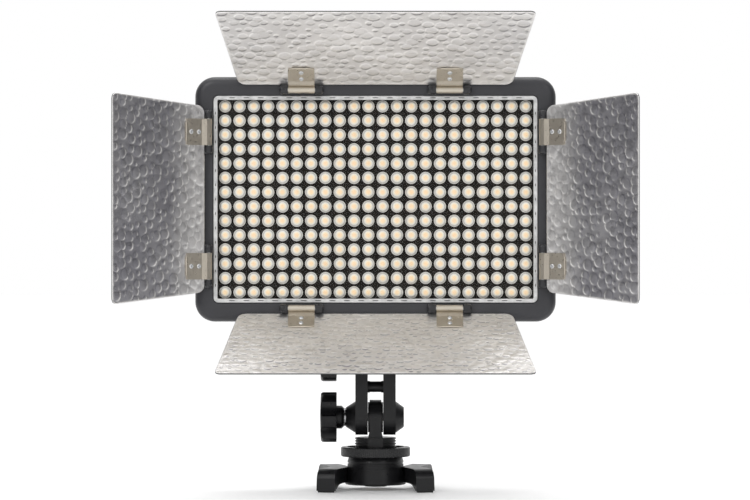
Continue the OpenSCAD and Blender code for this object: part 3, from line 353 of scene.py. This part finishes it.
def led_field():
    turns = [2 * math.pi * k / LED_SIDES for k in range(LED_SIDES)]
    ring = [(math.cos(a), math.sin(a)) for a in turns]
    after = [(k + 1) % LED_SIDES for k in range(LED_SIDES)]
    one, share, quads = [], [], []
    for i, (q, h) in enumerate(LED_PROFILE[:-1]):
        for c, s in ring:
            one.append((q * LED_R * c, -h, q * LED_R * s))
            share.append(q)
        if i:
            a, b = (i - 1) * LED_SIDES, i * LED_SIDES
            quads += [(a + k, b + k, b + after[k], a + after[k]) for k in range(LED_SIDES)]
    tip = len(one)
    one.append((0, -LED_PROFILE[-1][1], 0))
    share.append(0.0)
    last = (len(LED_PROFILE) - 2) * LED_SIDES
    tris = [(last + k, tip, last + after[k]) for k in range(LED_SIDES)]
    verts, faces, r, own = [], [], [], []
    for column in range(LED_COLUMNS):
        for row in range(LED_ROWS):
            x = (column - (LED_COLUMNS - 1) / 2) * LED_PITCH + rng.normal(0, LED_JITTER)
            z = lamp_z + (row - (LED_ROWS - 1) / 2) * LED_PITCH + rng.normal(0, LED_JITTER)
            base = len(verts)
            verts += [(x + v[0], BOARD_FRONT_Y + v[1], z + v[2]) for v in one]
            faces += [tuple(base + i for i in reversed(f)) for f in quads + tris]
            r += share
            own += [rng.random()] * len(one)
    obj = new_object("led_lenses", verts, faces)
    add_attribute(obj, "led_r", r)
    add_attribute(obj, "led_id", own)
    set_material(obj, M["led"])
    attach(obj, "lamp")
    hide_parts("led_emitters")


led_field()

# ---------- clear cover: a rim round a thin sheet ----------
COVER_W = 2 * (LED_PITCH * (LED_COLUMNS - 1) / 2 + LED_R + LED_SIDE_GAP + COVER_WALL)
COVER_H = 2 * (LED_PITCH * (LED_ROWS - 1) / 2 + LED_R + LED_GAP + COVER_WALL)
RIM_W = 0.00245
RIM_PROFILE = [     # inset from the cover's outline, and depth behind its front
    (0.0, 0.0006), (0.00018, 0.00018), (0.0006, 0.0), (0.0010, 0.00005), (0.0013, 0.00022),
    (0.0016, 0.00005), (0.0021, 0.0), (0.0024, 0.00025), (RIM_W, 0.0012)]
SMALLEST_CORNER = 0.0004
CLEAR_DEPTHS = (0.0006, 0.0018)     # of the clear sheet's two faces, behind the cover's front
DASH_INSET = 0.0013                 # from the cover's outline to the dashes' middle
LEVEL_DASH = (0.0022, 0.00034)      # half lengths along X and Z
UPRIGHT_DASH = (0.00030, 0.0010)
DASH_DEPTH, DASH_T = 0.00008, 0.0005
DASH_SIDES = 16
DASH_POWER = 2.6                    # 2 is an ellipse, and more is squarer
DASH_TAPER = 0.8                    # size of a dash's front, as a share of its back


def rounded_outline(w, h, r, steps=8):
    points = []
    for cx, cz, start in ((w / 2 - r, h / 2 - r, 0), (-w / 2 + r, h / 2 - r, 90),
                          (-w / 2 + r, -h / 2 + r, 180), (w / 2 - r, -h / 2 + r, 270)):
        for i in range(steps + 1):
            a = math.radians(start + 90 * i / steps)
            points.append((cx + r * math.cos(a), cz + r * math.sin(a)))
    return points


def band(name, rings, material):
    """Joins outlines of equal length, given as (points, y), into one closed band."""
    verts, faces = [], []
    n = len(rings[0][0])
    for points, y in rings:
        verts += [(x, y, lamp_z + z) for x, z in points]
    for i in range(len(rings)):
        j = (i + 1) % len(rings)
        for k in range(n):
            after = (k + 1) % n
            faces.append((j * n + k, j * n + after, i * n + after, i * n + k))
    obj = new_object(name, verts, faces)
    set_material(obj, material)
    return obj


def cover():
    def ring(inset, y):
        corner = max(SMALLEST_CORNER, COVER_CORNER - inset)
        return rounded_outline(COVER_W - 2 * inset, COVER_H - 2 * inset, corner), y

    rings = [ring(0.0, BOARD_FRONT_Y)]
    rings += [ring(inset, COVER_FRONT_Y + depth) for inset, depth in RIM_PROFILE]
    rings.append(ring(RIM_W, BOARD_FRONT_Y))
    rim = band("cover_rim", rings, M["rim"])
    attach(rim, "lamp")
    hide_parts("clear_cover")
    w, h = COVER_W / 2 - RIM_W, COVER_H / 2 - RIM_W
    y0, y1 = (COVER_FRONT_Y + depth for depth in CLEAR_DEPTHS)
    verts = [(x, y, lamp_z + z) for y in (y0, y1) for x, z in ((-w, -h), (w, -h), (w, h), (-w, h))]
    faces = [(0, 1, 2, 3), (7, 6, 5, 4), (0, 4, 5, 1), (1, 5, 6, 2), (2, 6, 7, 3), (3, 7, 4, 0)]
    sheet = new_object("cover_sheet", verts, faces, smooth=False)
    set_material(sheet, M["clear"])
    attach(sheet, "lamp")


def dash_outline(a, b):
    """A squarish ellipse with half lengths a and b."""
    points = []
    for k in range(DASH_SIDES):
        t = 2 * math.pi * k / DASH_SIDES
        c, s = math.cos(t), math.sin(t)
        points.append((a * math.copysign(abs(c) ** (2 / DASH_POWER), c),
                       b * math.copysign(abs(s) ** (2 / DASH_POWER), s)))
    return points


def painted_refraction_dashes(places):
    """Painted refraction: small flattened dark dashes let into the rim where the dark gaps between the
    LEDs show through it, each given as (x, z, half lengths).
    """
    verts, faces = [], []
    front = COVER_FRONT_Y + DASH_DEPTH
    for x, z, halves in places:
        base = len(verts)
        tip = base + DASH_SIDES
        outline = dash_outline(*halves)
        verts += [(x + px, front + DASH_T, z + pz) for px, pz in outline]
        verts += [(x + px * DASH_TAPER, front, z + pz * DASH_TAPER) for px, pz in outline]
        for k in range(DASH_SIDES):
            after = (k + 1) % DASH_SIDES
            faces.append((base + k, tip + k, tip + after, base + after))
        faces.append(tuple(tip + k for k in range(DASH_SIDES)))
        faces.append(tuple(base + k for k in reversed(range(DASH_SIDES))))
    obj = new_object("cover_rim_painted_refraction", verts, faces)
    set_material(obj, M["gap"])
    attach(obj, "lamp")


cover()
# painted refraction: a dark dash in the rim opposite each gap between LED columns and between LED rows
mid_w, mid_h = COVER_W / 2 - DASH_INSET, COVER_H / 2 - DASH_INSET
dashes = []
for column in range(LED_COLUMNS - 1):
    x = (column + 1 - LED_COLUMNS / 2) * LED_PITCH
    dashes += [(x, lamp_z + side * mid_h, LEVEL_DASH) for side in (-1, 1)]
for row in range(LED_ROWS - 1):
    z = lamp_z + (row + 1 - LED_ROWS / 2) * LED_PITCH
    dashes += [(side * mid_w, z, UPRIGHT_DASH) for side in (-1, 1)]
painted_refraction_dashes(dashes)

# ---------- barn doors ----------
GRID = 0.00052          # distance between the points of a sheet, in metres
ROW_SHIFT = 0.0006      # rows crowd towards the two rounded ends, so that the corners stay round
EDGE_FADE = 0.0012      # relief and painted light fade over this distance from a sheet's edges
# painted light that a sheet's edges take where the relief fades
EDGE_PAINTED_LIGHT = 0.9
LONG_RELIEF, SIDE_RELIEF = 0.00024, 0.00020
RELIEF_BASE = 0.0001    # how far the ground between the cells lies behind the sheet's face
BACK_INSET, BACK_EDGE_INSET = 0.00016, 0.0001
BACK_RELIEF = 0.5       # how much of the relief shows on the back
CELL_JITTER = 0.30      # how far a cell strays from its place, as a share of the distance
CELL_WEIGHTS = (-0.20, 0.24)        # how much a cell grows at its neighbours' cost, as such a share
CELL_HEIGHTS = (0.45, 1.0)
CELL_R, BORDER_R = 0.44, 0.37       # of a cell and of the middle of its border, as such a share
GROOVE_W, BORDER_W, BORDER_GAP, CENTRE_R = 0.0006, 0.00036, 0.0004, 0.0004  # metres
CELL_MARGINS = (0.02, 0.012)        # how far the cells run on past the sheet, along X and Z
FAR = 9.0               # metres, more than any distance between cells
CELLS = {   # distance between embossed cells, and how much longer they are along the pin
    "top": (0.0058, 1.15), "bottom": (0.0046, 1.15), "left": (0.0052, 1.1), "right": (0.0052, 1.1)}
PAINTED_LIGHT_DIRECTIONS = {     # the direction in the sheet along which a cell's border gets painted shade on the long doors and a painted highlight on the side doors
    "top": (0.1, -1.0), "bottom": (0.1, 1.0), "left": (-0.35, -0.94), "right": (0.35, -0.94)}
LONG_PAINTED_LIGHT = {"top": (0.70, 0.62), "bottom": (0.78, 0.9)}   # painted light: each long door's ground level, and how dark the painted shade on a cell's border gets


def door_matrix(door):
    turn, open_angle, _ = DOORS[door]
    joint = joints[door + "_door_hinge"]
    tilt = open_angle - joint["range_deg"][0]
    return (Matrix.Translation(Vector(joint["pos_m"])) @ Matrix.Rotation(math.radians(turn), 4, "Y")
            @ Matrix.Rotation(math.radians(tilt), 4, "X"))


def pebbles(width, height, seed, step, stretch):
    """Embossed cells. Returns a function of x and z arrays that gives the height of the
    relief, how near a cell's edge is, and the direction from the cell's centre."""
    local = np.random.default_rng(seed)
    step_x, step_z = step * stretch, step / stretch
    nx, nz = int(width / step_x) + 5, int(height / step_z) + 5
    px, pz = np.meshgrid(np.arange(nx) - nx / 2, np.arange(nz) - 1.5)
    px = px + 0.5 * (np.arange(nz) % 2)[:, None]
    px = (px + local.uniform(-CELL_JITTER, CELL_JITTER, px.shape)) * step_x
    pz = (pz + local.uniform(-CELL_JITTER, CELL_JITTER, pz.shape)) * step_z
    px, pz = px.ravel(), pz.ravel()
    weight = local.uniform(*CELL_WEIGHTS, px.shape) * step
    lift = local.uniform(*CELL_HEIGHTS, px.shape)

    def relief_at(x, z):
        near = np.full(x.shape, FAR)
        second = np.full(x.shape, FAR)
        own, dx, dz = (np.zeros(x.shape) for _ in range(3))
        for cx, cz, w, k in zip(px, pz, weight, lift):
            ox, oz = (x - cx) / stretch, (z - cz) * stretch
            d = np.hypot(ox, oz) - w
            closer = d < near
            second = np.where(closer, near, np.minimum(second, d))
            own = np.where(closer, k, own)
            dx = np.where(closer, ox, dx)
            dz = np.where(closer, oz, dz)
            near = np.where(closer, d, near)
        apart = second - near
        reach = np.maximum(np.hypot(dx, dz), CENTRE_R)
        inside = np.clip(1 - near / (CELL_R * step), 0, 1) * np.clip(apart / GROOVE_W, 0, 1)
        edge = np.exp(-((near - BORDER_R * step) / BORDER_W) ** 2) * np.clip(apart / BORDER_GAP, 0.3, 1)
        return np.sqrt(inside) * own, edge * own, dx / reach, dz / reach

    return relief_at


def sheet_half_width(s, z):
    """Half width at height z of a sheet that widens outward, with rounded corners."""
    slope = (s["outer"] - s["inner"]) / 2 / (s["end"] - s["start"])
    w = s["inner"] / 2 + (z - s["start"]) * slope
    for r, end, sign in ((SHEET_INNER_CORNER, s["start"], 1), (SHEET_CORNER, s["end"], -1)):
        into = (z - end) * sign
        cut = np.where(into < r, r - np.sqrt(np.maximum(r * r - (r - np.clip(into, 0, r)) ** 2, 0)), 0)
        w = w - cut
    return w


def drift(x, z, seed):
    """Slow waves of brightness over a sheet."""
    wave = np.random.default_rng(seed).uniform(0, 6.3, 4)
    near = np.sin(x * 95 + wave[0]) * np.sin(z * 120 + wave[1])
    wide = np.sin(x * 41 + wave[2]) * np.sin(z * 70 + wave[3])
    return (near + wide) * 0.03


def sheet_painted_light(door, border, side, out, waves):
    """How much light each spot is painted as sending forward: painted highlights and painted shade on the
    cells' borders, painted shade that grows towards the free edge of the long doors, and painted light
    near the pin of the side doors, over each door's painted ground level; "out" runs from the pin to the
    free edge.
    """
    if door in LONG_PAINTED_LIGHT:
        ground, painted_shade_depth = LONG_PAINTED_LIGHT[door]
        # painted light: the door's ground level, darker towards the free edge
        tone_and_painted_light = ground + waves - 0.05 * out
        # painted highlight on every border, and painted shade on the border's side along the door's
        # direction
        return tone_and_painted_light + 0.16 * border - border * np.clip(side, 0, 1) * (painted_shade_depth + 0.35 * out ** 3)
    # painted light: side doors are brighter near the pin
    near_pin = np.clip((0.40 - out) / 0.30, 0, 1)
    tone_and_painted_light = 0.31 + 0.38 * near_pin + waves
    # painted highlight on the border's side along the door's direction, painted shade on the other side
    return tone_and_painted_light + border * (np.clip(side, 0, 1) ** 1.5 * 0.95 - np.clip(-side, 0, 1) * 0.20)


def sheet_faces(rows, columns):
    """Quads of a closed sheet: the lit face, the back, and the edge all round."""
    back = rows * columns
    grid = np.arange(back).reshape(rows, columns)
    a, b = grid[:-1, :-1].ravel(), grid[:-1, 1:].ravel()
    c, d = grid[1:, 1:].ravel(), grid[1:, :-1].ravel()
    lit = np.stack([a, b, c, d], -1)
    far = np.stack([a + back, d + back, c + back, b + back], -1)
    loop = np.concatenate([grid[0, :], grid[1:, -1], grid[-1, -2::-1], grid[-2:0:-1, 0]])
    after = np.roll(loop, -1)
    edge = np.stack([loop, loop + back, after + back, after], -1)
    return lit, far, edge


def sheet_object(door, points, rows, columns):
    """One closed object from the points of the lit face and the back, row by row."""
    lit, far, edge = sheet_faces(rows, columns)
    world = np.array(door_matrix(door))
    points = points @ world[:3, :3].T + world[:3, 3]
    obj = new_object(door + "_door_sheet", points, np.concatenate([lit, far, edge]).tolist())
    set_material(obj, M["reflector"], M["door_back"])
    index = np.zeros(len(obj.data.polygons), np.int32)
    index[len(lit):] = 1
    obj.data.polygons.foreach_set("material_index", index)
    smooth = [True] * (len(lit) + len(far)) + [False] * len(edge)
    obj.data.polygons.foreach_set("use_smooth", smooth)
    return obj


def door_sheet(door, seed):
    s = DOORS[door][2]
    rows = int((s["end"] - s["start"]) / GRID) + 1
    columns = int(s["outer"] / GRID) + 1
    t = np.linspace(0, 1, rows)
    z = s["start"] + (s["end"] - s["start"]) * t - ROW_SHIFT * np.sin(2 * np.pi * t)
    half = sheet_half_width(s, z)[:, None]
    x = half * np.linspace(-1, 1, columns)[None, :]
    z = np.repeat(z[:, None], columns, 1)
    step, stretch = CELLS[door]
    width, reach = s["outer"] + CELL_MARGINS[0], s["end"] + CELL_MARGINS[1]
    relief_at = pebbles(width, reach, seed, step, stretch)
    height, border, dx, dz = relief_at(x, z)
    # which side of its cell each spot lies on, for the painted shade and painted highlight
    along_x, along_z = PAINTED_LIGHT_DIRECTIONS[door]
    side = dx * along_x + dz * along_z
    out = (z - s["start"]) / (s["end"] - s["start"])
    # painted highlights and painted shade for each spot of the relief
    tone_and_painted_light = sheet_painted_light(door, border, side, out, drift(x, z, seed + 50))
    to_edge = np.minimum(np.minimum(half - np.abs(x), s["end"] - z), z - s["start"])
    fade = np.clip(to_edge / EDGE_FADE, 0, 1)
    relief = (height * (LONG_RELIEF if s is LONG_SHEET else SIDE_RELIEF) - RELIEF_BASE) * fade
    tone_and_painted_light = np.clip(tone_and_painted_light, 0.02, 1) * fade + (1 - fade) * EDGE_PAINTED_LIGHT
    front = -s["level"] - relief    # the lit face looks towards -Y
    back = -s["level"] + SHEET_T - BACK_INSET - relief * BACK_RELIEF
    back = np.where(fade < 0.02, -s["level"] + SHEET_T - BACK_EDGE_INSET, back)
    points = np.concatenate([np.stack([x, y, z], -1).reshape(-1, 3) for y in (front, back)])
    obj = sheet_object(door, points, rows, columns)
    # the painted light goes into the reflector's colour
    add_attribute(obj, "tone_and_painted_light", np.concatenate([tone_and_painted_light.ravel(), tone_and_painted_light.ravel()]))
    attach(obj, door + "_door")
    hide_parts(door + "_door_panel")


for seed, door in enumerate(DOORS):
    door_sheet(door, 100 + seed)

# ---------- stage, lights and camera ----------
STAGE_ROUGH = 0.6
FLOOR_GLOW = 0.10
SENSOR_W = 36           # millimetres
CAMERA_DISTANCE = 2.1
VIEW_W = 0.444375       # width of the view at the lamp
CAMERA_X, CAMERA_Z, AIM_Z = -0.0003, 0.145, 0.141705


def plane(name, centre, size, normal, color):
    m = Mat(name, color, STAGE_ROUGH)
    m.gloss(m.noise(3, 2), STAGE_ROUGH - 0.05, STAGE_ROUGH + 0.05)
    w, h = size[0] / 2, size[1] / 2
    corners = [(-w, -h, 0), (w, -h, 0), (w, h, 0), (-w, h, 0)]
    obj = new_object(name, corners, [(0, 1, 2, 3)], smooth=False)
    turn = Vector(normal).to_track_quat("Z", "Y").to_matrix().to_4x4()
    obj.matrix_world = Matrix.Translation(centre) @ turn
    set_material(obj, m.mat)
    return obj


floor = plane("floor", (0, 0, 0), (16, 16), (0, 0, 1), (0.92, 0.92, 0.92))
floor_glow = floor.data.materials[0].node_tree.nodes["Principled BSDF"]
floor_glow.inputs["Emission Color"].default_value = (1.0, 1.0, 1.0, 1.0)
floor_glow.inputs["Emission Strength"].default_value = FLOOR_GLOW
for name, side in (("side_card_left", -1), ("side_card_right", 1)):
    card = plane(name, (side * 1.3, -0.55, 0.45), (1.9, 1.5), (-side, 0, 0), (0.10, 0.10, 0.105))
    card.visible_camera = False

world = bpy.data.worlds.new("studio")
bpy.context.scene.world = world
world.use_nodes = True
world.node_tree.nodes["Background"].inputs["Color"].default_value = (1.0, 1.0, 1.0, 1.0)
world.node_tree.nodes["Background"].inputs["Strength"].default_value = 1.0


def soft_light(name, where, target, size, power):
    data = bpy.data.lights.new(name, "AREA")
    data.shape = "RECTANGLE"
    data.size, data.size_y = size
    data.energy = power
    obj = bpy.data.objects.new(name, data)
    bpy.context.scene.collection.objects.link(obj)
    obj.location = where
    direction = Vector(target) - Vector(where)
    obj.rotation_euler = direction.to_track_quat("-Z", "Y").to_euler()
    obj.visible_camera = False


soft_light("key", (-0.9, -1.5, 1.5), (0, 0, 0.17), (0.6, 0.8), 12)
soft_light("fill", (1.3, -1.4, 0.9), (0, 0, 0.17), (0.8, 0.8), 6)
soft_light("top", (0.0, 0.3, 1.6), (0, 0, 0.15), (1.2, 0.6), 8)

camera = bpy.data.objects.new("camera", bpy.data.cameras.new("camera"))
bpy.context.scene.collection.objects.link(camera)
camera.data.sensor_width = SENSOR_W
camera.data.lens = SENSOR_W * CAMERA_DISTANCE / VIEW_W
camera.location = (CAMERA_X, -CAMERA_DISTANCE, CAMERA_Z)
aim = Vector((CAMERA_X, 0, AIM_Z))
camera.rotation_euler = (aim - camera.location).to_track_quat("-Z", "Y").to_euler()
camera.data.clip_start, camera.data.clip_end = 0.05, 60
bpy.context.scene.camera = camera

settings = bpy.context.scene.view_settings
settings.view_transform = "Standard"
settings.look = "None"
settings.exposure = 0.0
